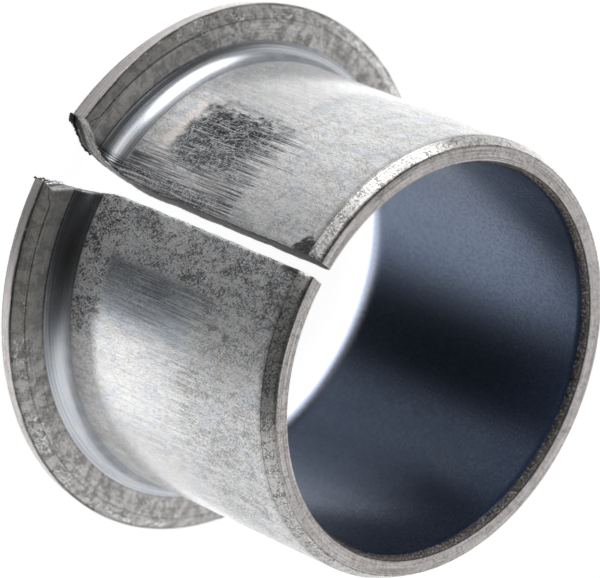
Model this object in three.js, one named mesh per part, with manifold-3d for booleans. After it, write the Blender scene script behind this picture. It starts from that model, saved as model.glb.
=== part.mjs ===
// A flanged wrapped plain-bearing bush, in its free state before it is pressed into a housing.
// Coated strip steel is rolled into a sleeve, and one end is flared out into a flange. The strip's two
// ends meet at a butt gap, which runs along the whole sleeve and opens to a V through the flange.
// Frame: millimetres, +Z along the bore from the flange to the free end. The origin is on the bore's
// axis in the plane of the flange's outer face, and the gap faces -Y.

import * as THREE from "three";
import { mergeVertices } from "three/addons/utils/BufferGeometryUtils.js";
import Module from "manifold-3d";

const wasm = await Module();
wasm.setup();

// Driving dimensions
const LENGTH = 26;
const FITTED_OUTER_DIAMETER = 34; // once the gap has closed in its housing
const FITTED_FLANGE_DIAMETER = 42;
const WALL = 2;
const FLANGE_THICKNESS = 1.8;
const GAP = 1.24; // between the strip's ends, along the sleeve

// Layers of the strip, from the bore outwards
const SLIDING_THICKNESS = 0.03;
const BRONZE_THICKNESS = 0.25;
const TIN_THICKNESS = 0.03;

// The free bush is larger than the fitted one, because its circumference holds the open gap as well.
const SPRING_OPEN = GAP / Math.PI / 2;
const OUTER_RADIUS = FITTED_OUTER_DIAMETER / 2 + SPRING_OPEN;
const BORE_RADIUS = OUTER_RADIUS - WALL;
const FLANGE_RADIUS = FITTED_FLANGE_DIAMETER / 2 + SPRING_OPEN;
const BRONZE_FACE = SLIDING_THICKNESS;
const STEEL_FACE = SLIDING_THICKNESS + BRONZE_THICKNESS;

// Free end
const OUTER_CHAMFER_WIDTH = 0.53;
const OUTER_CHAMFER_LENGTH = 1.06;
const INNER_CHAMFER_WIDTH = 0.33;
const INNER_CHAMFER_LENGTH = 0.7;

// Bend and flange
const MOUTH_BEND_RADIUS = 3.55; // on the bore side
const OUTER_BEND_WIDTH = 1.2; // on the sleeve side, an elliptical fillet
const OUTER_BEND_HEIGHT = 1.85;
const BEND_CENTRE_RADIUS = OUTER_RADIUS + OUTER_BEND_WIDTH;
const BEND_CENTRE_HEIGHT = FLANGE_THICKNESS + OUTER_BEND_HEIGHT;
const BEVEL_START_RADIUS = 20.1; // the sleeve side is flat up to here, then thins towards the rim
const RIM_HEIGHT = 1.2;
const RIM_BREAK_WIDTH = 0.3; // rounded edge between the outer face and the rim
const RIM_BREAK_HEIGHT = 0.3;
const RIM_TAPER = 0.1;

// Mouth of the gap, which widens round the bend and out through the flange
const TAPER_HEIGHT = 5.5; // below this height the gap starts to widen along the sleeve
const TAPER_SLOPE = 0.1;
const FLARE_START_RADIUS = 16.9;
const FLARE_SLOPE = 0.5;
const FLARE_TOP = 4.5;
const FLARE_FULL = 2.5;

// Faceting
const TURN_SEGMENTS = 72;
const MOUTH_ARC_STEPS = 6;
const OUTER_ARC_STEPS = 5;

// A quarter ellipse in the half-section, as [radius, height] points from the sleeve to the flange.
function bendArc(centreRadius, centreHeight, bendWidth, bendHeight, steps) {
  const points = [];
  for (let i = 0; i <= steps; i += 1) {
    const turn = (i / steps) * (Math.PI / 2);
    points.push([
      centreRadius - bendWidth * Math.cos(turn),
      centreHeight - bendHeight * Math.sin(turn),
    ]);
  }
  return points;
}

// Radius of the rim where it crosses a height inside its broken edge.
function brokenRimRadius(height) {
  const share = height / RIM_BREAK_HEIGHT;
  return FLANGE_RADIUS - RIM_BREAK_WIDTH + share * (RIM_BREAK_WIDTH - RIM_TAPER);
}

// Height of the free end's inner chamfer at a depth below the bore's surface.
function innerChamferHeight(depth) {
  return LENGTH - INNER_CHAMFER_LENGTH * (1 - depth / INNER_CHAMFER_WIDTH);
}

// The surface at a depth below the sliding face, from the free end round the bend to the rim.
function layerFace(depth) {
  const centreRadius = BORE_RADIUS + MOUTH_BEND_RADIUS;
  const bend = MOUTH_BEND_RADIUS - depth;
  return [
    [BORE_RADIUS + depth, innerChamferHeight(depth)],
    ...bendArc(centreRadius, MOUTH_BEND_RADIUS, bend, bend, MOUTH_ARC_STEPS),
    [brokenRimRadius(depth), depth],
  ];
}

// The outside at a depth below the plating's surface, from the rim round the bend to the free end.
function outerFace(depth) {
  const sleeveToFlange = bendArc(
    BEND_CENTRE_RADIUS,
    BEND_CENTRE_HEIGHT,
    OUTER_BEND_WIDTH + depth,
    OUTER_BEND_HEIGHT + depth,
    OUTER_ARC_STEPS,
  );
  return [
    [brokenRimRadius(STEEL_FACE) - depth, STEEL_FACE],
    [FLANGE_RADIUS - RIM_TAPER - depth, RIM_BREAK_HEIGHT],
    [FLANGE_RADIUS - depth, RIM_HEIGHT - depth / 2],
    [BEVEL_START_RADIUS - depth / 2, FLANGE_THICKNESS - depth],
    ...sleeveToFlange.reverse(),
    [OUTER_RADIUS - depth, LENGTH - OUTER_CHAMFER_LENGTH - depth / 2],
    [OUTER_RADIUS - OUTER_CHAMFER_WIDTH - depth / 2, LENGTH - depth],
    [BORE_RADIUS + INNER_CHAMFER_WIDTH, LENGTH - depth],
    [BORE_RADIUS + STEEL_FACE, innerChamferHeight(STEEL_FACE) - depth],
  ];
}

// A ring turned from a closed half-section, with its axis along Z.
function turned(profile) {
  const points = [...profile, profile[0]].map(([radius, height]) => new THREE.Vector2(radius, height));
  const ring = new THREE.LatheGeometry(points, TURN_SEGMENTS);
  ring.rotateX(Math.PI / 2);
  return ring;
}

// A geometry as a solid that can be cut.
function solidOf(geometry) {
  const bare = geometry.clone();
  bare.deleteAttribute("normal");
  bare.deleteAttribute("uv");
  const merged = mergeVertices(bare, 1e-5);
  return new wasm.Manifold(
    new wasm.Mesh({
      numProp: 3,
      vertProperties: new Float32Array(merged.attributes.position.array),
      triVerts: new Uint32Array(merged.index.array),
    }),
  );
}

// A cut solid back as a geometry.
function geometryOf(solid) {
  const mesh = solid.getMesh();
  const geometry = new THREE.BufferGeometry();
  geometry.setAttribute("position", new THREE.BufferAttribute(mesh.vertProperties, 3));
  geometry.setIndex(new THREE.BufferAttribute(mesh.triVerts, 1));
  geometry.computeVertexNormals();
  return geometry;
}

// The point of the strip's sleeve side that lies straight across the wall from a place in it.
function acrossTheWall(radius, height) {
  const inward = BEND_CENTRE_RADIUS - radius;
  const below = BEND_CENTRE_HEIGHT - height;
  if (below <= 0) return [OUTER_RADIUS, height];
  if (inward <= 0) return [radius, FLANGE_THICKNESS];
  const turn = Math.atan2(below / OUTER_BEND_HEIGHT, inward / OUTER_BEND_WIDTH);
  return [
    BEND_CENTRE_RADIUS - OUTER_BEND_WIDTH * Math.cos(turn),
    BEND_CENTRE_HEIGHT - OUTER_BEND_HEIGHT * Math.sin(turn),
  ];
}

// Half the gap's width at a place in the wall. The strip's ends are cut square through its thickness.
function gapHalfWidth(radius, height) {
  const [outsideRadius, outsideHeight] = acrossTheWall(radius, height);
  const taper = TAPER_SLOPE * Math.max(0, TAPER_HEIGHT - outsideHeight);
  const flare = FLARE_SLOPE * Math.max(0, outsideRadius - FLARE_START_RADIUS);
  const flareShare = 1 - THREE.MathUtils.smoothstep(outsideHeight, FLARE_FULL, FLARE_TOP);
  return GAP / 2 + taper + flare * flareShare;
}

// The body of air between the strip's ends: a box across the wall, as wide at each place as the gap.
function gapBody() {
  const clearance = 2;
  const innerRadius = BORE_RADIUS - clearance;
  const outerRadius = FLANGE_RADIUS + clearance;
  const radialSteps = 14;
  const axialSteps = 18;
  const box = new THREE.BoxGeometry(2, 1, 1, 1, radialSteps, axialSteps);
  const place = box.attributes.position;
  for (let i = 0; i < place.count; i += 1) {
    const radius = THREE.MathUtils.lerp(innerRadius, outerRadius, 0.5 - place.getY(i));
    const along = (place.getZ(i) + 0.5) ** 2; // squared, so that the steps crowd at the flange
    const height = THREE.MathUtils.lerp(-clearance, LENGTH + clearance, along);
    place.setXYZ(i, place.getX(i) * gapHalfWidth(radius, height), -radius, height);
  }
  return solidOf(box);
}

// The driving faces of the strip's layers, from the bore outwards
const slidingSurface = layerFace(0);
const bronzeSurface = layerFace(BRONZE_FACE);
const steelInside = layerFace(STEEL_FACE);
const steelOutside = outerFace(TIN_THICKNESS);
const tinSurface = outerFace(0);

// steelInside runs on past the steel to the plating at both ends, so its end points belong to the bronze.
const steelProfile = [...steelInside.slice(1, -1), ...steelOutside];

const layers = [
  {
    name: "sliding_layer",
    profile: [...slidingSurface, ...[...bronzeSurface].reverse()],
    colour: 0x39424f,
    roughness: 0.45,
    metalness: 0.1,
  },
  {
    name: "bronze_interlayer",
    profile: [...bronzeSurface, ...[...steelInside].reverse()],
    colour: 0x8a6a45,
    roughness: 0.6,
    metalness: 0.9,
  },
  {
    name: "steel_backing",
    profile: steelProfile,
    colour: 0x6f6c69,
    roughness: 0.5,
    metalness: 0.95,
  },
  {
    name: "tin_plating",
    profile: [...[...steelOutside].reverse(), ...tinSurface],
    colour: 0xb9bcbe,
    roughness: 0.35,
    metalness: 0.95,
  },
];

const bush = new THREE.Group();
const gap = gapBody();
for (const { name, profile, colour, roughness, metalness } of layers) {
  const geometry = geometryOf(solidOf(turned(profile)).subtract(gap));
  const material = new THREE.MeshStandardMaterial({ color: colour, roughness, metalness });
  const mesh = new THREE.Mesh(geometry, material);
  mesh.name = name;
  bush.add(mesh);
}

export default bush;
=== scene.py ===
"""Looks of a flanged wrapped plain-bearing bush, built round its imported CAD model.

Lengths are in millimetres until the meshes are made, and metres from there on. The frame is the CAD
model's: +Z along the bore from the flange to the free end, with the butt gap facing -Y.
The bush is one strip of layered material, so every layer is a sheet: it runs ALONG the half-section
from the free end round the bend to the rim, ACROSS the wall, and ROUND the axis from lip to lip.
The lips are the strip's two ends. Going round starts at the near lip, on the +X side of the gap, and
ends at the far lip, on the -X side.
"""

import math

import bpy
import numpy as np
from mathutils import Matrix, Vector


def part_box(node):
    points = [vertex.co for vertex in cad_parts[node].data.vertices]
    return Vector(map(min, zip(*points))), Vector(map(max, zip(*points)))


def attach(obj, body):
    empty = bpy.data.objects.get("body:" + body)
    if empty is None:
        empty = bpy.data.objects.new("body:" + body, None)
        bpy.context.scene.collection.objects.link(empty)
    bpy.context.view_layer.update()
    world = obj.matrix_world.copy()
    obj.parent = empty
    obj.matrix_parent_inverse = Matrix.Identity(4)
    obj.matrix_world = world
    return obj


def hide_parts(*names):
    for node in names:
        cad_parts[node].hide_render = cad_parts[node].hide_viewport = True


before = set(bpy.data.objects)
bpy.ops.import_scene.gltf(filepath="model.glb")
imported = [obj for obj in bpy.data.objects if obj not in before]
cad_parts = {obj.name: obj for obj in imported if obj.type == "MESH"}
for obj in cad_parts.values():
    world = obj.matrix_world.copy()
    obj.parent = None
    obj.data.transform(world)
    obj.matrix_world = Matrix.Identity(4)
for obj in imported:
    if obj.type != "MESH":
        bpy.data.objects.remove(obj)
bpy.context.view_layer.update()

MM = 0.001


# ---------------- sizes, from the frame


def cad_points(node):
    """A CAD node's vertices in millimetres."""
    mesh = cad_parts[node].data
    points = np.zeros(len(mesh.vertices) * 3)
    mesh.vertices.foreach_get("co", points)
    return points.reshape(-1, 3) / MM


def cad_radii(node, lowest, highest):
    """Radii of a CAD node's vertices between two heights."""
    points = cad_points(node)
    chosen = points[(points[:, 2] >= lowest) & (points[:, 2] <= highest)]
    return np.hypot(chosen[:, 0], chosen[:, 1])


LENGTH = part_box("tin_plating")[1].z / MM
SLEEVE_RADIUS = cad_radii("tin_plating", LENGTH * 0.5, LENGTH).max()
BORE_RADIUS = cad_radii("sliding_layer", 0, LENGTH * 0.9).min()
FLANGE_RADIUS = cad_radii("tin_plating", 0, LENGTH).max()
HALF_TURN = math.pi * SLEEVE_RADIUS  # the sleeve's half circumference

# Layers of the strip
SLIDING_THICKNESS = 0.03
STEEL_DEPTH = 0.28
TIN_THICKNESS = 0.03

# Free end
OUTER_CHAMFER = (0.53, 1.06)
INNER_CHAMFER = (0.33, 0.7)

# Bend and flange
FLANGE_THICKNESS = 1.8
MOUTH_BEND = 3.55
OUTER_BEND = (1.2, 1.85)  # the sleeve side's elliptical fillet: its width and height
BEVEL_START = 20.1
RIM_HEIGHT = 1.2
RIM_BREAK = (0.3, 0.3)
RIM_TAPER = 0.1
RIM_BAND_TOP = FLANGE_THICKNESS + 0.01
BEND_CENTRE = (SLEEVE_RADIUS + OUTER_BEND[0], FLANGE_THICKNESS + OUTER_BEND[1])

# Gap between the strip's ends
GAP = 1.24
TAPER_HEIGHT = 5.5
TAPER_SLOPE = 0.1
FLARE_START = 16.9
FLARE_SLOPE = 0.5
FLARE_TOP = 4.5
FLARE_FULL = 2.5
NEAR_TIP_DRAWN = 0.6  # the near lip's corner at the rim is dragged this far into the gap
NEAR_TIP = (20.25, 21.2)  # radii where that drag starts and where it is full
NEAR_LIP_ROUNDING = 0.24
FAR_LIP_ROUNDING = 0.13
LIP_ROUNDING_DEPTH = 0.7
FRACTURE_LEDGE = 0.05  # step in each cut face between the sheared and the torn half
FAR_CUT_SLANT = 0.09  # the far cut face leans into the gap by this share of its depth
FAR_RIM_RISE = 0.5  # the bevel runs out towards the far lip, so the rim is this much higher there
FAR_RIM_REACH = 14.0
RIM_BURR_HEIGHT = 0.09  # broken burr on the corner between bevel and rim

# Tool marks turned into the outside: (place, width, depth); places count zones, as zone_of does
GROOVES = (
    (0.97, 0.05, 0.07),  # between end face and chamfer
    (2.0, 0.07, 0.012),  # between chamfer and sleeve
    (3.02, 0.09, 0.012),  # where the bend leaves the sleeve
    (3.73, 0.04, 0.006),  # rings where the bend runs out into the seat
    (3.85, 0.035, 0.005),
    (3.99, 0.05, 0.008),
    (5.0, 0.06, 0.05),  # between seat and bevel
    (5.93, 0.05, 0.07),  # between bevel and rim
)

# Mesh fineness
STATIONS_ROUND = 420
LIP_STATIONS = (0, 0.02, 0.05, 0.09, 0.14, 0.2, 0.28, 0.4, 0.6, 0.85)  # distances from each lip
STEEL_ROWS = 14
GROOVE_POINTS = 9
SHARP_EDGE = 40  # degrees


# ---------------- small tools


def smoothstep(low, high, value):
    share = np.clip((value - low) / (high - low), 0.0, 1.0)
    return share * share * (3.0 - 2.0 * share)


def wobble(place, wavelength, seed):
    """Smooth noise from -1 to 1 along a line."""
    knots = np.random.default_rng(seed).uniform(-1, 1, 512)
    cell = np.floor(place / wavelength).astype(int)
    share = smoothstep(0, 1, place / wavelength - cell)
    return knots[cell % 512] * (1 - share) + knots[(cell + 1) % 512] * share


# ---------------- half-section


def straight(start, end, count):
    """Points from start towards end, without the end point."""
    start, end = np.array(start, float), np.array(end, float)
    return [start + (end - start) * i / count for i in range(count)]


def bend_arc(centre, width, height, steps):
    """Quarter ellipse from the sleeve to the flange, without its end point."""
    points = []
    for i in range(steps):
        turn = i / steps * math.pi / 2
        points.append(np.array(centre) - [width * math.cos(turn), height * math.sin(turn)])
    return points


def lengths_along(chain):
    """Distance walked along a chain up to each of its points."""
    steps = np.linalg.norm(np.diff(chain, axis=0), axis=1)
    return np.concatenate([[0], np.cumsum(steps)])


def resampled(chain, places):
    """The points of a chain at distances walked along it."""
    along = lengths_along(chain)
    return np.column_stack([np.interp(places, along, chain[:, axis]) for axis in range(2)])


def outward(chain):
    """Unit normals of a chain, on its outer side."""
    direction = np.gradient(chain, axis=0)
    direction /= np.linalg.norm(direction, axis=1)[:, None]
    return np.column_stack([-direction[:, 1], direction[:, 0]])


def inner_chamfer_height(depth):
    return LENGTH - INNER_CHAMFER[1] * (1 - depth / INNER_CHAMFER[0])


def broken_rim_radius(height):
    share = height / RIM_BREAK[1]
    return FLANGE_RADIUS - RIM_BREAK[0] + share * (RIM_BREAK[0] - RIM_TAPER)


def layer_face(depth):
    """The face at a depth below the sliding surface, from the free end to the rim."""
    centre = BORE_RADIUS + MOUTH_BEND
    top = [BORE_RADIUS + depth, inner_chamfer_height(depth)]
    bend_top = [BORE_RADIUS + depth, MOUTH_BEND]
    flange_start = [centre, depth]
    rim = [broken_rim_radius(depth), depth]
    chain = straight(top, bend_top, 40)
    chain += bend_arc((centre, MOUTH_BEND), MOUTH_BEND - depth, MOUTH_BEND - depth, 24)
    chain += straight(flange_start, rim, 10)
    return np.array(chain + [np.array(rim)])


def outer_face(depth):
    """The sleeve side at a depth below the plating, from the end face's inner edge to the rim's foot."""
    face_start = [BORE_RADIUS + INNER_CHAMFER[0], LENGTH - depth]
    face_edge = [SLEEVE_RADIUS - OUTER_CHAMFER[0] - depth / 2, LENGTH - depth]
    chamfer_end = [SLEEVE_RADIUS - depth, LENGTH - OUTER_CHAMFER[1] - depth / 2]
    bend_top = [SLEEVE_RADIUS - depth, BEND_CENTRE[1]]
    seat_start = [BEND_CENTRE[0], FLANGE_THICKNESS - depth]
    seat_end = [BEVEL_START - depth / 2, FLANGE_THICKNESS - depth]
    rim_top = [FLANGE_RADIUS - depth, RIM_HEIGHT - depth / 2]
    rim_foot = [broken_rim_radius(STEEL_DEPTH) - depth, STEEL_DEPTH + TIN_THICKNESS]
    chain = straight(face_start, face_edge, 8)
    chain += straight(face_edge, chamfer_end, 8)
    chain += straight(chamfer_end, bend_top, 50)
    chain += bend_arc(BEND_CENTRE, OUTER_BEND[0] + depth, OUTER_BEND[1] + depth, 28)
    chain += straight(seat_start, seat_end, 8)
    chain += straight(seat_end, rim_top, 8)
    chain += straight(rim_top, rim_foot, 6)
    return np.array(chain + [np.array(rim_foot)])


def bend_turn(radius, height):
    """The bend's own angle at a place: nothing on the sleeve, a quarter turn on the flange."""
    below = np.maximum((BEND_CENTRE[1] - height) / OUTER_BEND[1], 0)
    inward = np.maximum((BEND_CENTRE[0] - radius) / OUTER_BEND[0], 0)
    return np.arctan2(below, inward)


def across_the_wall(radius, height):
    """The sleeve-side point straight across the wall from a place in it, the outward direction there
    and the place's depth below it."""
    turn = bend_turn(radius, height)
    on_sleeve = height >= BEND_CENTRE[1]
    on_flange = (radius >= BEND_CENTRE[0]) & ~on_sleeve
    out_radius = np.where(on_flange, radius, BEND_CENTRE[0] - OUTER_BEND[0] * np.cos(turn))
    out_height = np.where(on_sleeve, height, BEND_CENTRE[1] - OUTER_BEND[1] * np.sin(turn))
    out_x, out_z = np.cos(turn) / OUTER_BEND[0], np.sin(turn) / OUTER_BEND[1]
    size = np.hypot(out_x, out_z)
    out_x, out_z = out_x / size, out_z / size
    depth = (out_radius - radius) * out_x + (out_height - height) * out_z
    return out_radius, out_height, out_x, out_z, depth


def zone_of(radius, height):
    """Where a point of the outside lies, from 0 to 7: end face, chamfer, sleeve, bend, seat, bevel and
    rim take one whole number each."""
    centre_radius, centre_height = BEND_CENTRE
    face_start = BORE_RADIUS + INNER_CHAMFER[0]
    face_edge = SLEEVE_RADIUS - OUTER_CHAMFER[0]
    chamfer_end = LENGTH - OUTER_CHAMFER[1]
    end_face = (radius - face_start) / (face_edge - face_start)
    chamfer = 1 + (LENGTH - height) / OUTER_CHAMFER[1]
    sleeve = 2 + (chamfer_end - height) / (chamfer_end - centre_height)
    bend = 3 + bend_turn(radius, height) / (math.pi / 2)
    seat = 4 + (radius - centre_radius) / (BEVEL_START - centre_radius)
    bevel = 5 + (radius - BEVEL_START) / (FLANGE_RADIUS - BEVEL_START)
    rim = 6 + (RIM_HEIGHT - height) / RIM_HEIGHT
    zone = np.where(height < RIM_HEIGHT, rim, bevel)
    zone = np.where(radius < BEVEL_START, seat, zone)
    zone = np.where(radius < centre_radius, bend, zone)
    zone = np.where(height > centre_height, sleeve, zone)
    zone = np.where(height > chamfer_end, chamfer, zone)
    return np.where((height > LENGTH - 2 * TIN_THICKNESS) & (radius < face_edge), end_face, zone)


def grooved(base):
    """The steel's and the plating's outside, with the turned grooves and enough points to show them."""
    along = lengths_along(base)
    zone = np.maximum.accumulate(zone_of(base[:, 0], base[:, 1]))
    grooves = [(np.interp(place, zone, along), width, depth) for place, width, depth in GROOVES]
    extra = [centre + width * np.linspace(-1.6, 1.6, GROOVE_POINTS) for centre, width, _ in grooves]
    places = np.unique(np.round(np.clip(np.concatenate([along, *extra]), 0, along[-1]), 3))
    chain = resampled(base, places)
    sinks = [depth * np.exp(-(((places - centre) / width) ** 2)) for centre, width, depth in grooves]
    sink = sum(sinks)[:, None]
    normals = outward(chain)
    return chain - normals * sink, chain + normals * (TIN_THICKNESS - sink)


# ---------------- gap


def gap_half_width(radius, height):
    """Half the gap's width at a place in the wall. The lips are cut square through its thickness."""
    radius, height = across_the_wall(radius, height)[:2]
    taper = TAPER_SLOPE * np.maximum(0, TAPER_HEIGHT - height)
    flare = FLARE_SLOPE * np.maximum(0, radius - FLARE_START)
    return GAP / 2 + taper + flare * (1 - smoothstep(FLARE_FULL, FLARE_TOP, height))


def torn_edge(radius, height, depth, seed):
    """How far a lip's cut face stands back at a place: wavy, torn, with a ledge half way across."""
    walk = radius - height
    waves = 0.03 * wobble(walk, 1.3, seed) + 0.02 * wobble(walk, 0.45, seed + 1)
    tears = 0.018 * wobble(walk + 3 * depth, 0.17, seed + 2)
    ledge_depth = 0.85 + 0.2 * wobble(walk, 2.4, seed + 3)
    return waves + tears + FRACTURE_LEDGE * smoothstep(0, 0.12, depth - ledge_depth)


def lip_angles(radius, height):
    """Angles of the near and the far lip, counted from the gap's middle."""
    out_radius, out_height, _, _, depth = across_the_wall(radius, height)
    half_width = gap_half_width(radius, height)
    drawn = NEAR_TIP_DRAWN * smoothstep(*NEAR_TIP, out_radius) * (out_height < RIM_BAND_TOP)
    near = half_width + torn_edge(radius, height, depth, 11) - drawn
    far = half_width + torn_edge(radius, height, depth, 23) - FAR_CUT_SLANT * depth
    return np.arcsin(near / radius), np.arcsin(far / radius)


def turn_shares():
    """Where the stations round the bush sit between the lips, from 0 to 1, close together near both."""
    lip = np.array(LIP_STATIONS) / (2 * HALF_TURN)
    body = np.linspace(lip[-1], 1 - lip[-1], STATIONS_ROUND)
    return np.concatenate([lip[:-1], body, 1 - lip[-2::-1]])


TURN_SHARES = turn_shares()


def rolled_over(distance, rounding):
    """How far a rounded edge has dropped at a distance from the lip."""
    short = np.clip(rounding - distance, 0, rounding)
    return rounding - np.sqrt(rounding**2 - short**2)


def lip_drop(from_near, from_far, depth):
    """How far the strip has rolled over beside its lips. This fades with depth below the outside."""
    drop = rolled_over(from_near, NEAR_LIP_ROUNDING) + rolled_over(from_far, FAR_LIP_ROUNDING)
    return drop * (1 - smoothstep(0, LIP_ROUNDING_DEPTH, depth))


def rim_growth(chain, out_height, from_far):
    """How much higher than its plain height the bevel is, where it runs out towards the far lip."""
    down_bevel = np.clip((chain[:, :1] - BEVEL_START) / (FLANGE_RADIUS - BEVEL_START), 0, 1)
    rise = FAR_RIM_RISE * (1 - smoothstep(0, FAR_RIM_REACH, from_far)) * (out_height < RIM_BAND_TOP)
    return 1 + down_bevel * rise / RIM_HEIGHT


def rim_burr(chain, angle):
    """Height of the broken burr on the corner between bevel and rim."""
    place = angle * FLANGE_RADIUS
    burr = np.clip(wobble(place, 1.1, 31) + 0.5 * wobble(place, 0.35, 32), 0, 1)
    off_corner = (chain[:, :1] - FLANGE_RADIUS + 0.04) / 0.05
    near_rim = np.abs(chain[:, 1:] - RIM_HEIGHT) < 0.2
    return RIM_BURR_HEIGHT * burr * np.exp(-(off_corner**2)) * near_rim


def turned(chain):
    """A chain of (radius, height) carried round the axis from lip to lip: points [along, round, xyz],
    the angle of each from the gap's middle and its distance from the nearer lip."""
    radius, height = chain[:, :1], chain[:, 1:]
    near, far = lip_angles(radius, height)
    angle = near + (2 * math.pi - near - far) * TURN_SHARES[None, :]
    from_near = (angle - near) * radius
    from_far = (2 * math.pi - far - angle) * radius
    _, out_height, out_x, out_z, depth = across_the_wall(radius, height)
    drop = lip_drop(from_near, from_far, depth)
    radius = radius - drop * out_x
    height = (height - drop * out_z) * rim_growth(chain, out_height, from_far) + rim_burr(chain, angle)
    points = np.stack([radius * np.sin(angle), -radius * np.cos(angle), height], axis=-1)
    return points, angle, np.minimum(from_near, from_far)


# ---------------- meshes


def add_object(name, data):
    made = bpy.data.objects.new(name, data)
    bpy.context.scene.collection.objects.link(made)
    return made


def mesh_object(name, points, faces, material):
    """An object from points in millimetres."""
    mesh = bpy.data.meshes.new(name)
    mesh.from_pydata((points * MM).tolist(), [], faces)
    mesh.validate()
    mesh.polygons.foreach_set("use_smooth", [True] * len(mesh.polygons))
    mesh.set_sharp_from_angle(angle=math.radians(SHARP_EDGE))
    mesh.materials.append(material)
    return add_object(name, mesh)


def skin(ids):
    """Quads over a grid of vertex numbers."""
    corners = [ids[:-1, :-1], ids[:-1, 1:], ids[1:, 1:], ids[1:, :-1]]
    return np.stack(corners, axis=-1).reshape(-1, 4)


def block_faces(across, along, around):
    """Quads over the six sides of a block of vertices, facing outwards."""
    index = np.arange(across * along * around).reshape(across, along, around)
    sides = [
        skin(index[0]),
        skin(index[-1])[:, ::-1],
        skin(index[:, 0])[:, ::-1],
        skin(index[:, -1]),
        skin(index[:, :, 0]),
        skin(index[:, :, -1])[:, ::-1],
    ]
    return np.concatenate(sides)


def add_attribute(piece, name, kind, field, values):
    """Values stored on a piece's vertices, for its material to read."""
    attribute = piece.data.attributes.new(name, kind, "POINT")
    attribute.data.foreach_set(field, values.astype(np.float32).ravel())


def sheet_object(name, rows, material):
    """A closed sheet from chains in step: rows[across] is a chain, innermost first. Each vertex keeps
    its place on the strip, which is the distance along, the distance round and its zone (its share
    across, in a sheet of many rows), and its distance from the nearer lip."""
    grids, marks, lips = [], [], []
    for number, row in enumerate(rows):
        points, angle, from_lip = turned(row)
        along = np.broadcast_to(lengths_along(row)[:, None], angle.shape)
        if len(rows) > 2:
            zone = np.full(angle.shape, number / (len(rows) - 1))
        else:
            zone = np.broadcast_to(zone_of(row[:, :1], row[:, 1:]), angle.shape)
        grids.append(points)
        lips.append(from_lip)
        marks.append(np.stack([along, angle * SLEEVE_RADIUS, zone], axis=-1))
    grid = np.array(grids)
    used, compact = np.unique(block_faces(*grid.shape[:3]), return_inverse=True)
    piece = mesh_object(name, grid.reshape(-1, 3)[used], compact.reshape(-1, 4).tolist(), material)
    add_attribute(piece, "strip", "FLOAT_VECTOR", "vector", np.array(marks).reshape(-1, 3)[used])
    add_attribute(piece, "lip", "FLOAT", "value", np.array(lips).ravel()[used])
    return piece


def between(low, high, count):
    """Chains in step from one to the other."""
    return [low + (high - low) * i / count for i in range(count + 1)]


def build_layers():
    """Each layer's chains, from the bore outwards. Neighbouring layers share a face."""
    sliding = layer_face(0)
    bronze = layer_face(SLIDING_THICKNESS)
    steel = layer_face(STEEL_DEPTH)
    steel_out, tin_out = grooved(outer_face(TIN_THICKNESS))
    shares = lengths_along(steel_out) / lengths_along(steel_out)[-1]
    steel_in = steel.copy()
    steel_in[-1, 0] -= 2 * TIN_THICKNESS  # the plating wraps the rim here
    steel_in = resampled(steel_in, shares * lengths_along(steel_in)[-1])
    return {
        "sliding_layer": [sliding, bronze],
        "bronze_interlayer": [bronze, steel],
        "steel_backing": between(steel_in, steel_out, STEEL_ROWS),
        "tin_plating": [steel_out, tin_out],
    }


# ---------------- torn slivers at the flange's corners


def thrust_side(radius):
    """Height of the sliding surface at a radius, on the flange and round the mouth."""
    inside = np.clip(BORE_RADIUS + MOUTH_BEND - radius, 0, MOUTH_BEND)
    return MOUTH_BEND - np.sqrt(MOUTH_BEND**2 - inside**2)


def tube(path, half_width, half_height, sides):
    """A closed tube round a path, as points and faces. It is wide along X and high along Z."""
    turns = np.arange(sides) / sides * 2 * math.pi
    ring = np.stack([np.cos(turns), 0 * turns, np.sin(turns)], axis=-1)
    size = np.stack([half_width, 0 * half_width, half_height], axis=-1)
    points = path[:, None, :] + ring * size[:, None, :]
    last = (len(path) - 1) * sides
    faces = []
    for first in range(0, last, sides):
        for k in range(sides):
            corners = (k, sides + k, sides + (k + 1) % sides, (k + 1) % sides)
            faces.append(tuple(first + corner for corner in corners))
    faces.append(tuple(range(sides)))
    faces.append(tuple(last + k for k in range(sides))[::-1])
    return points.reshape(-1, 3), faces


def joined(parts):
    """Several (points, faces) as one."""
    points, faces, start = [], [], 0
    for part_points, part_faces in parts:
        points.append(part_points)
        faces += [tuple(start + i for i in face) for face in part_faces]
        start += len(part_points)
    return np.vstack(points), faces


def beside_lip(radius, stand_off, lift, far):
    """Points in the gap, a distance off a lip's cut face and a height above the sliding surface."""
    height = thrust_side(radius)
    near_angle, far_angle = lip_angles(radius, height)
    side = -1.0 if far else 1.0
    angle = far_angle if far else near_angle
    x = side * (radius * np.sin(angle) - stand_off)
    return np.stack([x, -radius * np.cos(angle), height + lift], axis=-1)


FAR_BURR_END = 17.3  # radius where the far burr has thinned out


def far_burr():
    """The sliding layer torn along the far lip: a lump at the rim that thins out towards the bend."""
    radius = np.linspace(FLANGE_RADIUS - 0.02, FAR_BURR_END, 70)
    share = (FLANGE_RADIUS - radius) / (FLANGE_RADIUS - FAR_BURR_END)
    ragged = 0.5 + 0.5 * wobble(radius, 0.16, 41)
    width = 0.05 + 0.28 * np.exp(-((share / 0.28) ** 2)) * (0.45 + 0.55 * ragged) + 0.05 * ragged
    high = 0.04 + 0.17 * np.exp(-((share / 0.25) ** 2)) + 0.03 * wobble(radius, 0.2, 42)
    width[0] *= 0.4
    width[-1] *= 0.2
    path = beside_lip(radius, 0.8 * width, high - 0.02, True)
    return tube(path, width, high, 8)


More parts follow.
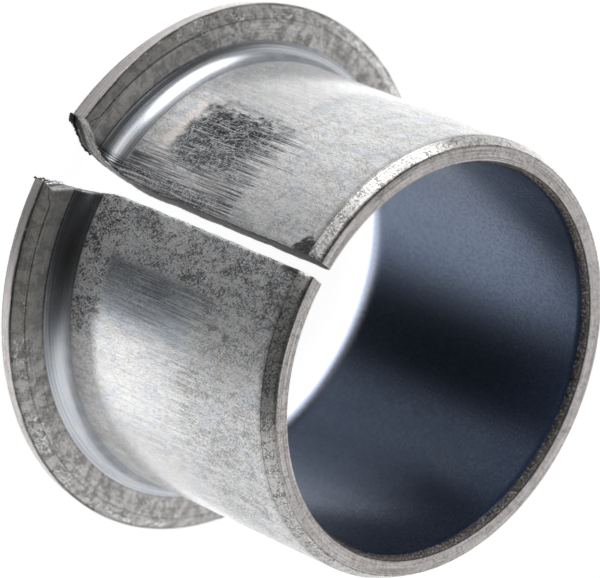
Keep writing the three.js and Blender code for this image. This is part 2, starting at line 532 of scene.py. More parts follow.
def long_hair(number):
    """A hair that arches off the near lip, from the drawn-out corner inwards."""
    reach = 3.1 - 0.45 * number
    radius = np.linspace(FLANGE_RADIUS - 0.08 - 0.06 * number, FLANGE_RADIUS - reach, 30)
    share = np.linspace(0, 1, len(radius))
    arch = np.sin(math.pi * share) * (0.2 + 0.09 * number)
    stand_off = 0.02 + arch + 0.07 * wobble(radius, 0.21, 50 + number)
    lift = 0.05 + 0.06 * number + 0.05 * wobble(radius, 0.3, 60 + number)
    thick = 0.055 * (1 - 0.75 * share) * (1 + 0.5 * wobble(radius, 0.15, 70 + number))
    return tube(beside_lip(radius, stand_off, lift, False), thick, thick * 0.7, 6)


def short_hair(number):
    """A bristle that stands out of the near lip into the gap."""
    root = FLANGE_RADIUS - 0.45 - 0.3 * number
    radius = root + np.linspace(0, 0.25, 10) * (1 if number % 2 else -0.6)
    share = np.linspace(0, 1, len(radius))
    stand_off = 0.12 + share * (0.28 - 0.03 * number)
    thick = 0.03 * (1 - 0.8 * share)
    return tube(beside_lip(radius, stand_off, 0.1 + 0.1 * share, False), thick, thick, 5)


def near_hairs():
    """Hairs of sliding layer that have lifted off the near lip."""
    return joined([long_hair(number) for number in range(5)] + [short_hair(number) for number in range(6)])


# ---------------- shader graphs


class Graph:
    """The nodes of one material or world, joined by short calls."""

    def __init__(self, tree):
        self.tree = tree
        tree.nodes.clear()

    def node(self, kind, inputs=(), **settings):
        made = self.tree.nodes.new("ShaderNode" + kind)
        for name, value in settings.items():
            setattr(made, name, value)
        for name, value in dict(inputs).items():
            self.put(made.inputs[name], value)
        return made

    def put(self, socket, value):
        if isinstance(value, bpy.types.NodeSocket):
            self.tree.links.new(value, socket)
        else:
            socket.default_value = value

    def math(self, operation, *values):
        return self.node("Math", enumerate(values), operation=operation).outputs[0]

    def add(self, first, second):
        return self.math("ADD", first, second)

    def inverse(self, value):
        return self.math("SUBTRACT", 1.0, value)

    def times(self, *values):
        result = values[0]
        for value in values[1:]:
            result = self.math("MULTIPLY", result, value)
        return result

    def highest(self, *values):
        result = values[0]
        for value in values[1:]:
            result = self.math("MAXIMUM", result, value)
        return result

    def shifted(self, value, noise, amount):
        """A value moved up and down by a noise."""
        return self.add(value, self.times(self.math("SUBTRACT", noise, 0.5), amount))

    def ramp(self, value, low, high, start=0.0, end=1.0):
        """Smooth step from start to end as the value goes from low to high."""
        inputs = {"Value": value, "From Min": low, "From Max": high, "To Min": start, "To Max": end}
        return self.node("MapRange", inputs, interpolation_type="SMOOTHSTEP").outputs["Result"]

    def window(self, value, low, high, soft):
        """One between low and high, nothing outside, with soft edges."""
        rise = self.ramp(value, low - soft, low + soft)
        return self.times(rise, self.ramp(value, high - soft, high + soft, 1.0, 0.0))

    def colour(self, factor, first, second):
        """The first colour turned into the second as the factor goes from 0 to 1."""
        inputs = {0: factor, 6: first, 7: second}
        return self.node("Mix", inputs, data_type="RGBA").outputs[2]

    def attribute(self, name, output):
        return self.node("Attribute", attribute_name=name).outputs[output]

    def strip(self):
        """Distance along the strip, distance round and zone, as separate values."""
        return self.node("SeparateXYZ", {0: self.attribute("strip", "Vector")}).outputs[:3]

    def on_strip(self, length, width, turn=0.0, shift=0.0):
        """Strip coordinates counted in a length and a width, with the length turned away from along."""
        place = self.flat(self.attribute("strip", "Vector"))
        inputs = {"Vector": place, "Location": (shift, 2 * shift, 0), "Rotation": (0, 0, turn)}
        inputs["Scale"] = (length, width, 1)
        return self.node("Mapping", inputs, vector_type="TEXTURE").outputs[0]

    def flat(self, place):
        return self.node("VectorMath", {0: place, 1: (1, 1, 0)}, operation="MULTIPLY").outputs[0]

    def in_space(self, size):
        """Object coordinates counted in a size in millimetres."""
        place = self.node("TexCoord").outputs["Object"]
        return self.node("VectorMath", {0: place, 3: 1 / (size * MM)}, operation="SCALE").outputs[0]

    def height(self):
        """Height above the thrust face in millimetres."""
        return self.node("SeparateXYZ", {0: self.in_space(1)}).outputs[2]

    def radius(self):
        """Distance from the axis in millimetres."""
        place = self.flat(self.in_space(1))
        return self.node("VectorMath", {0: place}, operation="LENGTH").outputs["Value"]

    def noise(self, place, detail=2.0, roughness=0.5, distortion=0.0):
        inputs = {"Vector": place, "Scale": 1.0, "Detail": detail, "Roughness": roughness}
        inputs["Distortion"] = distortion
        return self.node("TexNoise", inputs).outputs["Fac"]

    def strip_noise(self, place, *character):
        return self.noise(self.on_strip(*place), *character)

    def streaks(self, length, width, turn, shift, low, high):
        """Scratches: the crests of a noise that is long one way and narrow the other."""
        return self.ramp(self.strip_noise((length, width, turn, shift), 1.0), low, high)

    def bump(self, height, distance, below=None):
        inputs = {"Height": height, "Distance": distance * MM}
        if below is not None:
            inputs["Normal"] = below
        return self.node("Bump", inputs).outputs[0]

    def principled(self, colour, metallic, roughness, normal, more=()):
        inputs = {"Base Color": colour, "Metallic": metallic, "Roughness": roughness, "Normal": normal}
        return self.node("BsdfPrincipled", {**inputs, **dict(more)}).outputs[0]

    def surface(self, shader):
        out = self.node("OutputMaterial")
        self.put(out.inputs["Surface"], shader)


def material_graph(name):
    material = bpy.data.materials.new(name)
    material.use_nodes = True
    return material, Graph(material.node_tree)


ZONES = 7
ZONE_ENDS = (0.97, 2.0, 3.02, 3.99, 5.0, 5.95)  # where one zone's look ends and the next begins
ZONE_BLEND = 0.02


def zone_colours(g, zone, colours):
    """A colour for each zone, with narrow blends between neighbours."""
    ramp = g.node("ValToRGB", {0: g.times(zone, 1 / ZONES)})
    elements = ramp.color_ramp.elements
    elements[0].color = (*colours[0], 1)
    for end, colour, next_colour in zip(ZONE_ENDS, colours, colours[1:]):
        elements.new((end - ZONE_BLEND) / ZONES).color = (*colour, 1)
        elements.new((end + ZONE_BLEND) / ZONES).color = (*next_colour, 1)
    elements[-1].color = (*colours[-1], 1)
    return ramp.outputs[0]


def zone_values(g, zone, values):
    """A number for each zone, with the same narrow blends."""
    return zone_colours(g, zone, [(value, value, value) for value in values])


# ---------------- tin

TIN_COLOURS = (
    (0.76, 0.71, 0.69),  # end face
    (0.66, 0.65, 0.63),  # chamfer
    (0.86, 0.86, 0.86),  # sleeve
    (0.62, 0.65, 0.70),  # bend
    (0.84, 0.82, 0.80),  # seat
    (0.68, 0.67, 0.65),  # bevel
    (0.78, 0.74, 0.73),  # rim
)
# Zone by zone: share of dull, scattering surface, and strength of the mottling apart from the sleeve's
TIN_DULLNESS = (0.85, 0.66, 0.95, 0.12, 0.85, 0.85, 0.8)
TIN_MOTTLE = (0.5, 0.8, 0.0, 0.03, 0.6, 0.7, 0.4)
# Dark lines turned into the outside, the one between bevel and rim being painted shade in its groove:
# zone, half width in zones, strength near the gap, strength beyond
TIN_LINES = (
    (0.98, 0.05, 0.97, 0.1),
    (1.12, 0.07, 0.6, 0.0),
    (1.97, 0.03, 0.8, 0.45),
    (3.04, 0.012, 0.4, 0.2),
    (3.73, 0.014, 0.6, 0.35),
    (3.85, 0.012, 0.6, 0.35),
    (4.0, 0.03, 0.9, 0.35),
    (5.0, 0.035, 0.85, 0.6),
    # painted shade in the groove between bevel and rim
    (5.92, 0.085, 0.98, 0.5),
)

BLUISH_COLOUR = (0.66, 0.73, 0.83, 1)
WARM_COLOUR = (0.74, 0.69, 0.63, 1)
PATINA_COLOUR = (0.64, 0.63, 0.59, 1)
TARNISH_COLOUR = (0.22, 0.22, 0.21, 1)
# Wear, and in the far patch a painted dark reflection
WORN_AND_MIRRORED_DARK_COLOUR = (0.058, 0.068, 0.078, 1)
COOL_COLOUR = (0.62, 0.70, 0.80, 1)
PIT_COLOUR = (0.085, 0.085, 0.09, 1)
SHADED_BEND_COLOUR = (0.17, 0.17, 0.18, 1)
# A painted warm highlight on the sleeve just above the flange
PAINTED_WARM_HIGHLIGHT_COLOUR = (1.0, 0.92, 0.87, 1)
SCORE_COLOUR = (0.16, 0.16, 0.17, 1)
DRAWN_LINE_COLOUR = (0.05, 0.052, 0.058, 1)
RING_COLOUR = (0.12, 0.115, 0.11, 1)
SPECKLE_COLOUR = (0.18, 0.17, 0.16, 1)
# Fresh bright metal, and the colour of the painted glints
FRESH_METAL_AND_GLINT_COLOUR = (0.90, 0.90, 0.92, 1)
BLACK = (0.012, 0.011, 0.010, 1)


class TinPlaces:
    """Where things are on the plating: masks from 0 to 1, and the noises that they share. side is the
    distance round from the gap, plus on the near side, and height is above the thrust face."""

    def __init__(self, g):
        self.zone = g.strip()[2]
        self.side = g.math("WRAP", g.strip()[1], HALF_TURN, -HALF_TURN)
        self.from_gap = g.math("ABSOLUTE", self.side)
        self.height = g.height()
        self.from_lip = g.attribute("lip", "Fac")
        self.sleeve = g.window(self.zone, 1.99, 3.02, 0.01)
        self.off_sleeve = g.inverse(self.sleeve)
        self.bend = g.window(self.zone, 3.03, 3.98, 0.02)
        self.flange = g.window(self.zone, 4.0, 5.95, 0.02)
        self.add_noises(g)
        self.add_ragged_places(g)
        self.add_worn_and_mirrored_dark_places(g)

    def add_noises(self, g):
        self.blotch = g.strip_noise((0.5, 0.4, 0.3), 4.0, 0.66, 1.4)
        self.grain = g.strip_noise((0.16, 0.12, 0.5, 30), 1.5, 0.6, 0.8)
        self.patch = g.strip_noise((1.1, 0.7, 0.2, 33), 3.0, 0.6, 0.6)
        self.marks = g.strip_noise((0.8, 0.11, -0.5, 35), 2.0, 0.6, 0.5)
        self.cross_marks = g.strip_noise((0.7, 0.11, 0.9, 37), 2.0, 0.6, 0.5)
        self.cloud = g.strip_noise((3.2, 2.4, 0.0, 40), 3.0, 0.55)
        self.brush = g.strip_noise((6.0, 0.08, 0.0, 50), 2.0, 0.6)
        self.turned = g.strip_noise((0.07, 9.0, 0.0, 60), 2.0, 0.6)
        self.speckle = g.noise(g.in_space(0.19), 2.0, 0.7, 0.5)

    def add_ragged_places(self, g):
        """side and height moved about by noises, so that a mask made from them has ragged edges."""
        feather = g.strip_noise((7.0, 0.13, 0.0, 70), 2.0, 0.6)
        fray = g.strip_noise((0.9, 0.35, 0.0, 75), 4.0, 0.65)
        self.reach = g.shifted(self.height, feather, 18.0)
        self.beside = g.shifted(self.side, fray, 5.0)
        self.start = g.shifted(self.height, fray, 1.2)
        self.far_beside = g.shifted(self.beside, self.patch, 5.0)
        self.far_start = g.shifted(self.start, self.patch, 5.0)

    def add_worn_and_mirrored_dark_places(self, g):
        """The dark patch and the dark lip on the far side, and the brushed band on the near side. The dark
        patch is partly wear and partly a painted dark reflection.
        """
        far_off = g.times(g.window(self.far_beside, -9.5, -3.7, 1.1), g.ramp(self.far_start, 5.9, 7.6))
        broken = g.ramp(self.cloud, 0.7, 0.4, 0.7, 1.0)
        far_patch = g.times(far_off, g.ramp(self.reach, 16.5, 12.5), broken)
        self.far_patch = g.ramp(far_patch, 0.1, 0.85)
        self.far_lip = g.times(g.window(self.side, -2.0, 0.0, 0.25), g.ramp(self.reach, 17.0, 14.0))
        near_off = g.times(g.window(self.side, 4.9, 9.0, 0.5), g.ramp(self.start, 6.4, 7.0))
        self.near_band = g.times(near_off, g.ramp(self.reach, 20.0, 13.0))


def tin_polish(g, at):
    """Where the flanging tool has rubbed the sleeve bright."""
    near_side = g.times(g.ramp(at.beside, 7.5, 9.5), g.ramp(at.reach, 19.0, 9.0))
    near_side = g.times(near_side, g.ramp(at.start, 5.8, 6.8), 0.72)
    far_side = g.times(g.ramp(at.beside, -9.0, -11.5), g.ramp(at.reach, 16.0, 9.0), 0.6)
    near_band = g.times(at.near_band, 0.62)
    rubbed = g.highest(at.far_patch, at.far_lip, near_band, near_side, far_side)
    return g.times(rubbed, at.sleeve)


def tin_scratches(g):
    """Fine random scratches, bright on the rubbed metal: length, width, turn, shift and threshold."""
    kinds = (
        (3.4, 0.045, 0.42, 110, 0.665),
        (2.8, 0.045, -0.6, 120, 0.675),
        (2.2, 0.045, 1.35, 130, 0.665),
        (1.6, 0.045, -1.2, 140, 0.66),
        (2.6, 0.045, 0.95, 145, 0.67),
        (5.0, 0.05, 0.0, 150, 0.64),
        (4.0, 0.05, 0.05, 155, 0.65),
        (0.45, 0.055, 0.9, 160, 0.64),
        (0.45, 0.055, -0.3, 165, 0.64),
    )
    return g.highest(*(g.streaks(*kind, kind[-1] + 0.05) for kind in kinds))


def tin_hatching(g):
    """Short dark scores, mostly slanting: length, width, turn, shift and threshold."""
    kinds = (
        (1.1, 0.07, -0.55, 210, 0.63),
        (0.9, 0.07, 0.95, 220, 0.64),
        (0.5, 0.08, 0.2, 230, 0.63),
        (2.6, 0.06, -0.05, 240, 0.64),
    )
    return g.highest(*(g.streaks(*kind, kind[-1] + 0.06) for kind in kinds))


def tin_stains(g, at):
    """Dark smudges on both lips near the free end."""
    beside = g.shifted(at.side, at.patch, 4.0)
    along = g.shifted(at.height, at.patch, 4.0)
    far = g.times(g.window(beside, -1.75, 1.0, 0.45), g.window(along, 23.2, 26.0, 0.5))
    near = g.times(g.window(beside, -1.0, 1.3, 0.3), g.window(along, 23.4, 26.0, 0.5))
    broken = g.ramp(at.grain, 0.66, 0.54, 0.55, 1.0)
    return g.times(g.highest(far, near), at.sleeve, broken)


def tin_pit_places(g, at):
    """How heavily the plating is pitted at a place."""
    near = g.times(g.window(at.side, 0.0, 5.4, 0.6), 0.85)
    near_end = g.times(g.ramp(at.height, 13.0, 19.0), g.ramp(at.side, 12.0, 7.0))
    near_end = g.times(near_end, g.ramp(at.side, 3.0, 5.0), 0.75)
    beyond_end = g.times(g.ramp(at.height, 13.0, 17.0), g.ramp(at.side, 8.0, 11.0), 0.55)
    far = g.times(g.ramp(at.side, 0.0, -0.1), 0.34)
    round_foot = g.times(g.ramp(at.side, 0.0, 1.0, 0.4, 1.0), g.ramp(at.side, 16.0, 9.0, 0.35, 1.0))
    foot = g.times(g.ramp(at.start, 7.2, 6.5), round_foot)
    on_sleeve = g.times(g.highest(near, near_end, beyond_end, far, foot, 0.3), at.sleeve)
    away_from_gap = g.ramp(at.from_gap, 10.0, 15.0, 0.45, 1.0)
    cleaner_flange = g.highest(away_from_gap, g.ramp(at.zone, 4.0, 3.9))
    off_sleeve = g.times(zone_values(g, at.zone, TIN_MOTTLE), at.off_sleeve, cleaner_flange)
    return g.highest(on_sleeve, off_sleeve)


def tin_pitting(g, at, polish):
    """The noise that the pits and marks are the crests of, and how much of them shows at a place."""
    mixed = g.add(g.times(at.grain, 0.46), g.times(at.blotch, 0.16))
    mixed = g.add(mixed, g.times(g.add(at.marks, at.cross_marks), 0.19))
    mixed = g.shifted(g.shifted(mixed, at.cloud, 0.18), at.patch, 0.3)
    clean = g.inverse(g.times(polish, 0.85))
    return mixed, g.times(g.ramp(mixed, 0.49, 0.56), tin_pit_places(g, at), clean)


def tin_lines_and_groove_shade(g, at):
    """Dark turned lines, stronger near the gap, that curl towards the rim beside the lips. The line
    between bevel and rim is painted shade in its groove.
    """
    curl = g.times(g.ramp(at.from_lip, 1.5, 0.0), g.window(at.zone, 4.6, 5.8, 0.1), 0.5)
    zone = g.math("SUBTRACT", at.zone, curl)
    close = g.ramp(at.from_gap, 15.0, 10.0)
    lines = []
    for place, half, near, beyond in TIN_LINES:
        strength = g.ramp(close, 0.0, 1.0, beyond, near)
        lines.append(g.times(g.window(zone, place - half, place + half, half), strength))
    return g.times(g.highest(*lines), g.ramp(at.blotch, 0.32, 0.46))


def tin_tints(g, at):
    """The plating's own colours: clouded, with patina and tarnish on the flange."""
    colour = zone_colours(g, at.zone, TIN_COLOURS)
    bluish = g.times(g.ramp(g.strip_noise((2.2, 1.4, 0.0, 80), 3.0), 0.47, 0.64), 0.34)
    colour = g.colour(g.times(bluish, at.sleeve), colour, BLUISH_COLOUR)
    warm = g.times(g.ramp(g.strip_noise((2.0, 2.0, 0.0, 90), 2.0), 0.5, 0.66), 0.22)
    colour = g.colour(warm, colour, WARM_COLOUR)
    ragged_side = g.add(at.from_gap, g.times(at.blotch, 5.0))
    patina = g.times(g.ramp(ragged_side, 16.5, 13.5), g.ramp(at.cloud, 0.7, 0.35, 0.6, 1.0), at.flange)
    patina = g.times(patina, g.ramp(at.side, -1.0, 1.0, 0.35, 1.0))
    colour = g.colour(patina, colour, PATINA_COLOUR)
    tarnish = g.times(g.ramp(at.patch, 0.46, 0.56), at.flange, 0.32)
    return g.colour(tarnish, colour, TARNISH_COLOUR)


def tin_wear_and_painted_light(g, at, colour, pits):
    """Areas of wear, partly painted dark reflection in the far patch, cool areas, pits, painted shade on
    the bend beside the near lip, and a painted warm highlight along the edge that the far patch starts
    with."""
    # The far patch is darkened partly by wear and partly as a painted dark reflection.
    worn_and_mirrored_dark = g.highest(g.times(at.far_patch, 0.9), g.times(at.far_lip, 0.85))
    colour = g.colour(worn_and_mirrored_dark, colour, WORN_AND_MIRRORED_DARK_COLOUR)
    cool_band = g.times(g.window(at.side, 4.9, 9.6, 0.7), g.window(at.height, 6.7, 16.5, 1.2))
    colour = g.colour(g.times(cool_band, 0.6, at.sleeve), colour, COOL_COLOUR)
    colour = g.colour(pits, colour, PIT_COLOUR)
    near_bend = g.times(g.window(at.side, 0.3, 8.0, 2.0), at.bend, 0.75)
    colour = g.colour(near_bend, colour, SHADED_BEND_COLOUR)
    # Painted warm highlight: the band of light mirrored along the lower edge of the far patch.
    glow = g.times(g.window(at.side, -9.6, -3.9, 1.0), g.window(at.height, 5.45, 6.4, 0.4))
    return g.colour(g.times(glow, at.sleeve, 0.7), colour, PAINTED_WARM_HIGHLIGHT_COLOUR)


def tin_drawn_marks(g, at, colour):
    """Short scores all over the sleeve, and dark lines drawn along it, most of all by the far lip."""
    hatching = g.times(tin_hatching(g), at.sleeve, g.ramp(at.far_patch, 0.0, 1.0, 0.55, 0.0))
    colour = g.colour(hatching, colour, SCORE_COLOUR)
    far_side = g.times(g.window(at.side, -10.5, 0.0, 0.8), g.window(at.start, 6.6, 16.0, 0.8), 0.6)
    far_foot = g.times(g.window(at.side, -4.2, 0.0, 0.5), g.window(at.height, 3.7, 16.0, 0.4), 0.9)
    lined = g.highest(far_side, far_foot, g.times(at.near_band, 0.45), 0.15)
    lines = g.times(g.ramp(at.brush, 0.54, 0.44), lined, at.sleeve)
    return g.colour(lines, colour, DRAWN_LINE_COLOUR)


def tin_turned_marks(g, at, colour):
    """Rings turned into everything but the sleeve, and speckle on the end face and its chamfer."""
    end_face = g.ramp(at.zone, 1.0, 0.96)
    rings = g.times(g.ramp(at.turned, 0.46, 0.6), at.off_sleeve, g.ramp(at.bend, 0.0, 1.0, 0.35, 0.3))
    rings = g.highest(rings, g.times(g.ramp(at.turned, 0.5, 0.58), end_face, 0.5))
    colour = g.colour(rings, colour, RING_COLOUR)
    bright_rings = g.times(g.ramp(at.turned, 0.46, 0.40), end_face, 0.55)
    colour = g.colour(bright_rings, colour, FRESH_METAL_AND_GLINT_COLOUR)
    speckled = g.times(g.ramp(at.zone, 2.0, 1.95), g.ramp(at.zone, 0.93, 1.0, 0.5, 1.0))
    speckled = g.times(speckled, g.ramp(at.patch, 0.40, 0.58, 0.3, 1.0))
    dark = g.times(g.ramp(at.speckle, 0.48, 0.41), speckled, 0.65)
    colour = g.colour(dark, colour, SPECKLE_COLOUR)
    bright = g.times(g.ramp(at.speckle, 0.55, 0.60), speckled, 0.75)
    return g.colour(bright, colour, FRESH_METAL_AND_GLINT_COLOUR)


def tin_bright_marks(g, at, colour, polish, scratches):
    """Scratches and painted glints on the rubbed metal, and bright lines kept in the far lip."""
    # Painted glints: bright specks over the dark patch and the far lip.
    painted_glints = g.times(g.ramp(at.grain, 0.62, 0.66), g.highest(at.far_patch, at.far_lip), 0.3)
    kept = g.times(g.ramp(at.brush, 0.53, 0.58), at.far_lip, 0.85)
    shown = g.highest(at.far_patch, at.far_lip, g.times(polish, 0.4))
    bright = g.highest(g.times(scratches, shown), painted_glints, kept)
    return g.colour(bright, colour, FRESH_METAL_AND_GLINT_COLOUR)


def tin_flecks(g, at):
    """Bright squiggles of tin rubbed smooth on the bevel and the seat's edge."""
    squiggle = g.math("SUBTRACT", g.strip_noise((0.7, 0.95, 0.0, 95), 2.5), 0.5)
    crest = g.ramp(g.math("ABSOLUTE", squiggle), 0.022, 0.012)
    place = g.window(at.zone, 4.75, 5.93, 0.1)
    away_from_gap = g.ramp(at.from_gap, 7.0, 12.0, 0.1, 1.0)
    return g.times(crest, g.ramp(at.cloud, 0.44, 0.52), place, away_from_gap)


def tin_dullness(g, at, polish, scratches, flecks):
    """Share of dull surface: the zone's own, less where it is rubbed, more beside the lips."""
    dullness = zone_values(g, at.zone, TIN_DULLNESS)
    dullness = g.times(dullness, g.inverse(g.times(polish, 0.96)))
    beside_lip = g.times(g.ramp(at.from_lip, 0.5, 0.3, 0.0, 0.9), g.inverse(at.bend))
    return g.highest(dullness, g.times(scratches, 0.8), flecks, beside_lip)


def tin_relief(g, at, mixed):
    """Brushed along the sleeve, pitted all over but on the bend, and turned round off the sleeve."""
    brushed = g.bump(g.times(at.brush, at.sleeve), 0.004)
    pitted = g.bump(g.times(mixed, g.inverse(at.bend)), 0.016, brushed)
    return g.bump(g.times(at.turned, at.off_sleeve), 0.005, pitted)


def tin_material():
    """Tin plating: a bright metal and a dull one, mixed by how much a place has been rubbed."""
    material, g = material_graph("tin")
    at = TinPlaces(g)
    polish = tin_polish(g, at)
    scratches = g.times(tin_scratches(g), at.sleeve)
    mixed, pits = tin_pitting(g, at, polish)
    flecks = tin_flecks(g, at)
    colour = tin_wear_and_painted_light(g, at, tin_tints(g, at), pits)
    colour = tin_turned_marks(g, at, tin_drawn_marks(g, at, colour))
    colour = tin_bright_marks(g, at, colour, polish, scratches)
    colour = g.colour(flecks, colour, FRESH_METAL_AND_GLINT_COLOUR)
    # Dark lines, with painted shade in the groove between bevel and rim, and stains.
    dark = g.highest(tin_lines_and_groove_shade(g, at), g.times(tin_stains(g, at), 0.92))
    colour = g.colour(dark, colour, BLACK)

    relief = tin_relief(g, at, mixed)
    roughness = g.highest(g.ramp(at.brush, 0.3, 0.7, 0.13, 0.22), g.times(at.bend, 0.27))
    bright = g.principled(colour, 1.0, roughness, relief)
    dull = g.principled(colour, 0.5, 0.48, relief)
    dullness = tin_dullness(g, at, polish, scratches, flecks)
    g.surface(g.node("MixShader", {0: dullness, 1: bright, 2: dull}).outputs[0])
    return material


# ---------------- steel, bronze, sliding layer


# Bare steel's grain, with painted shade down the narrow gap on the sleeve and painted light on the
# flange's upturned cut face
STEEL_WITH_GAP_SHADE = ((0.006, 0.005, 0.0045, 1), (0.085, 0.068, 0.058, 1))  # on the sleeve: hollows, crests
STEEL_WITH_FLANGE_LIGHT = ((0.07, 0.065, 0.06, 1), (0.55, 0.55, 0.54, 1))  # on the flange
# Painted shade on the flange's cut face beside the sliding layer
PAINTED_SHADE_COLOUR = (0.012, 0.011, 0.011, 1)
BRONZE_COLOURS = ((0.22, 0.19, 0.17, 1), (0.018, 0.015, 0.014, 1))  # grains, pores
SMEARED_STEEL_COLOUR = (0.55, 0.51, 0.49, 1)
SPARK_COLOUR = (0.85, 0.80, 0.76, 1)
SLIDING_COLOURS = ((0.017, 0.022, 0.034, 1), (0.030, 0.038, 0.057, 1))
SLIDING_TINTS = ((0.45, 0.58, 0.94, 1), (0.56, 0.74, 1.0, 1))  # of what it mirrors
DOT_COLOUR = (0.004, 0.004, 0.005, 1)
# A painted sheen round the mouth
MOUTH_SHEEN_COLOUR = (0.62, 0.62, 0.70, 1)
TORN_COLOURS = ((0.006, 0.006, 0.007, 1), (0.09, 0.09, 0.095, 1))


def steel_material():
    """Bare steel on the cut faces, torn in lines along the strip: dark with painted shade down the
    sleeve's narrow gap, lighter with painted light on the flange.
    """
    material, g = material_graph("steel")
    along, _, share = g.strip()
    lines = g.node("CombineXYZ", {0: g.times(along, 0.5), 1: g.times(share, 22.0)}).outputs[0]
    torn = g.noise(lines, 3.0, 0.65, 0.6)
    pits = g.noise(g.in_space(0.14), 2.0, 0.6)
    value = g.add(g.times(torn, 0.7), g.times(pits, 0.3))
    on_flange = g.ramp(g.height(), 3.4, 1.6)
    # Painted shade in the gap on the sleeve, painted light on the flange.
    dark = g.colour(g.ramp(value, 0.42, 0.62), *STEEL_WITH_GAP_SHADE)
    light = g.colour(g.ramp(value, 0.42, 0.58), *STEEL_WITH_FLANGE_LIGHT)
    colour = g.colour(on_flange, dark, light)
    # Painted shade covers the flange's cut face beside the sliding layer, and reaches further towards the
    # rim.
    reach = g.shifted(g.ramp(g.radius(), 17.5, 20.5, 0.12, 0.42), pits, 0.5)
    shade_beside_sliding = g.ramp(g.math("SUBTRACT", reach, share), -0.04, 0.04)
    colour = g.colour(g.times(shade_beside_sliding, on_flange, 0.9), colour, PAINTED_SHADE_COLOUR)
    g.surface(g.principled(colour, 0.7, 0.5, g.bump(value, 0.05)))
    return material


def bronze_material():
    """Sintered bronze powder: dark brown pores between small bright grains, some steel smeared over."""
    material, g = material_graph("sintered_bronze")
    grains = g.node("TexVoronoi", {"Vector": g.in_space(0.09), "Scale": 1.0}).outputs["Distance"]
    patches = g.noise(g.in_space(0.5), 3.0, 0.6)
    value = g.add(g.times(grains, 0.6), g.times(patches, 0.5))
    colour = g.colour(g.ramp(value, 0.42, 0.72), *BRONZE_COLOURS)
    smeared = g.shifted(g.radius(), patches, 0.4)
    steel_over_it = g.ramp(smeared, BORE_RADIUS + 0.15, BORE_RADIUS + 0.24)
    colour = g.colour(g.times(steel_over_it, 0.35), colour, SMEARED_STEEL_COLOUR)
    sparks = g.ramp(g.noise(g.in_space(0.13), 1.0), 0.60, 0.64)
    colour = g.colour(sparks, colour, SPARK_COLOUR)
    g.surface(g.principled(colour, 0.75, 0.45, g.bump(grains, -0.05)))
    return material


def sliding_material():
    """Filled polymer overlay: dark blue-grey, satin, faintly mottled, with a painted sheen round the
    mouth.
    """
    material, g = material_graph("sliding_polymer")
    mottle = g.noise(g.in_space(0.22), 3.0, 0.7)
    cloud = g.strip_noise((3.5, 2.0, 0.0, 40), 2.0)
    wiped = g.strip_noise((5.0, 0.14, 0.0, 50), 2.0, 0.6)
    dots = g.ramp(g.noise(g.in_space(0.45), 1.0), 0.70, 0.76)
    value = g.add(g.times(mottle, 0.85), g.times(cloud, 0.15))
    colour = g.colour(g.ramp(value, 0.38, 0.62), *SLIDING_COLOURS)
    colour = g.colour(g.times(dots, 0.8), colour, DOT_COLOUR)
    # Painted sheen: a lighter, partly metallic band that stands for the mouth's bright grazing reflection.
    mouth_sheen = g.ramp(g.height(), 3.3, 2.2)
    colour = g.colour(mouth_sheen, colour, MOUTH_SHEEN_COLOUR)
    roughness = g.add(g.ramp(value, 0.35, 0.65, 0.28, 0.22), g.times(wiped, 0.06))
    relief = g.bump(wiped, 0.004, g.bump(mottle, 0.011))
    mirror = {"IOR": 2.35, "Specular Tint": g.colour(g.ramp(value, 0.38, 0.62), *SLIDING_TINTS)}
    g.surface(g.principled(colour, g.times(mouth_sheen, 0.6), roughness, relief, mirror))
    return material


def torn_material():
    """Sliding layer torn off at the cut: almost black, rough."""
    material, g = material_graph("torn_polymer")
    value = g.noise(g.in_space(0.12), 3.0, 0.65)
    colour = g.colour(g.ramp(value, 0.40, 0.66), *TORN_COLOURS)
    g.surface(g.principled(colour, 0.0, 0.6, g.bump(value, 0.04)))
    return material


# ---------------- pieces

LAYER_LOOKS = {
    "sliding_layer": ("sliding_polymer", sliding_material),
    "bronze_interlayer": ("sintered_bronze", bronze_material),
    "steel_backing": ("steel", steel_material),
    "tin_plating": ("tin", tin_material),
}

for layer, rows in build_layers().items():
    slot, make_material = LAYER_LOOKS[layer]
    piece = sheet_object(layer + "_sheet", rows, make_material())
    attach(piece, "root")
    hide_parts(layer)

torn = torn_material()
for name, (points, faces) in (("far_tip_burr", far_burr()), ("near_tip_burr", near_hairs())):
    piece = mesh_object(name, points, faces, torn)
    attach(piece, "root")


# ---------------- camera

CAMERA_AZIMUTH = 9.415
CAMERA_ELEVATION = 43.249
CAMERA_ROLL = -112.858
CAMERA_DISTANCE = 382.98
CAMERA_AIM = (-0.643, -1.766, 11.259)
CAMERA_LENS = 303.3
CAMERA_SENSOR = 36.0
CAMERA_STOP = 90.0
CAMERA_FOCUS = (0.0, -SLEEVE_RADIUS, 0.6 * LENGTH)  # the gap is sharp and the flange a little soft


def camera_turn():
    """The camera's rotation matrix in the part's frame, and the direction from the part to it."""
    azimuth, elevation = math.radians(CAMERA_AZIMUTH), math.radians(CAMERA_ELEVATION)
    level = math.cos(elevation)
    back = Vector((math.sin(azimuth) * level, -math.cos(azimuth) * level, math.sin(elevation)))
    right = Vector((0, 0, 1)).cross(back).normalized()
    up = back.cross(right)
    turn = Matrix((right, up, back)).transposed()
    return turn @ Matrix.Rotation(math.radians(-CAMERA_ROLL), 3, "Z"), back


def add_camera():
    turn, back = camera_turn()
    data = bpy.data.cameras.new("camera")
    data.sensor_width = CAMERA_SENSOR
    data.lens = CAMERA_LENS
    data.clip_start = 0.01
    data.clip_end = 50
    focus = add_object("focus_point", None)
    focus.location = Vector(CAMERA_FOCUS) * MM
    data.dof.use_dof = True
    data.dof.focus_object = focus
    data.dof.aperture_fstop = CAMERA_STOP
    camera = add_object("camera", data)
    place = (Vector(CAMERA_AIM) + back * CAMERA_DISTANCE) * MM
    camera.matrix_world = Matrix.Translation(place) @ turn.to_4x4()
    bpy.context.scene.camera = camera
    return turn


camera_axes = add_camera()


# ---------------- floor and light


FLOOR_HALF_SIDE = 20000
FLOOR_HEIGHT = -0.02  # a hair below the thrust face, so that the two never share a plane


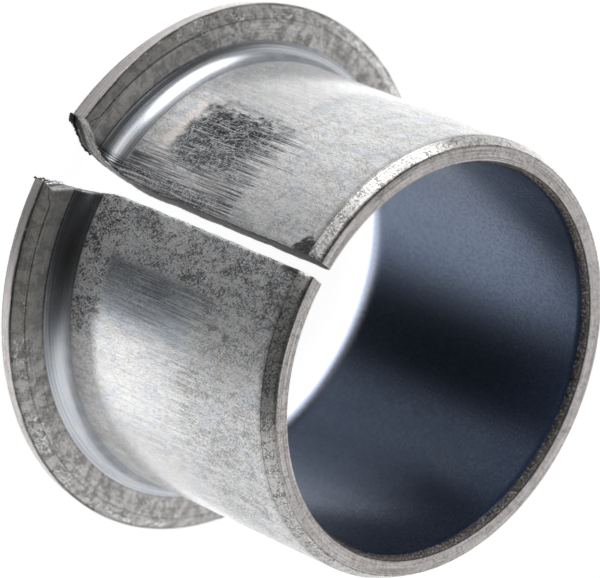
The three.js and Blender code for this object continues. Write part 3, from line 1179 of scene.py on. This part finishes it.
def add_floor():
    """A pale floor that the metal doesn't mirror: the studio's light comes from the world."""
    material, g = material_graph("floor")
    glow = g.node("Emission", {"Strength": 0.95}).outputs[0]
    matt = g.node("BsdfDiffuse", {"Color": (0.3, 0.3, 0.3, 1)}).outputs[0]
    g.surface(g.node("AddShader", {0: glow, 1: matt}).outputs[0])
    corners = np.array([(-1, -1, 0), (1, -1, 0), (1, 1, 0), (-1, 1, 0)]) * FLOOR_HALF_SIDE
    floor = mesh_object("floor", corners, [(0, 1, 2, 3)], material)
    floor.location.z = FLOOR_HEIGHT * MM
    floor.visible_glossy = False
    floor.visible_diffuse = False
    floor.visible_shadow = False


add_floor()

BASE_LIGHT = 0.02
# Soft areas of light: (direction, cosine where it starts, cosine where it is full, strength).
# Directions are (right, up, towards the camera) as seen by the camera.
LIGHT_AREAS = (
    ((0.0, -0.75, -0.66), 0.05, 0.35, 1.32),  # white sweep behind and below the bush
    ((0.15, 0.35, -0.92), 0.62, 0.92, 1.15),  # where the sweep rises behind the bush
    ((-0.9, -0.35, -0.25), 0.86, 0.97, 0.52),  # the sweep's wing on the left
    ((-0.61, 0.79, -0.07), 0.93, 0.985, 0.62),  # a white card above the left wing
    ((0.85, 0.3, -0.4), 0.84, 0.95, 1.0),  # the sweep's wing on the right
    ((0.1, 0.95, 0.1), 0.875, 0.935, 4.6),  # overhead softbox
    ((-0.3, 0.66, 0.68), 0.93, 0.985, 1.4),  # a card above the camera, which lights the chamfer
    ((0.3, 0.9, 0.3), 0.60, 0.84, 0.35),  # the softbox's spill on the ceiling
    ((0.5, 0.3, 0.8), 0.4, 0.95, 0.07),  # faint fill from the camera's side
)


def add_world():
    """Soft areas of light all round, which the camera itself sees as plain white."""
    world = bpy.data.worlds.new("studio")
    bpy.context.scene.world = world
    world.use_nodes = True
    g = Graph(world.node_tree)
    direction = g.node("TexCoord").outputs["Generated"]
    light = BASE_LIGHT
    for seen, low, high, strength in LIGHT_AREAS:
        towards = (camera_axes @ Vector(seen)).normalized()
        cosine = g.node("VectorMath", {0: direction, 1: towards}, operation="DOT_PRODUCT")
        area = g.ramp(cosine.outputs["Value"], low, high, 0.0, strength)
        light = g.add(light, area)
    studio = g.node("Background", {"Strength": light})
    white = g.node("Background", {"Color": (1, 1, 1, 1)})
    seen_directly = g.node("LightPath").outputs["Is Camera Ray"]
    mix = g.node("MixShader", {0: seen_directly, 1: studio.outputs[0], 2: white.outputs[0]})
    out = g.node("OutputWorld")
    g.put(out.inputs["Surface"], mix.outputs[0])


add_world()
bpy.context.scene.view_settings.view_transform = "Standard"
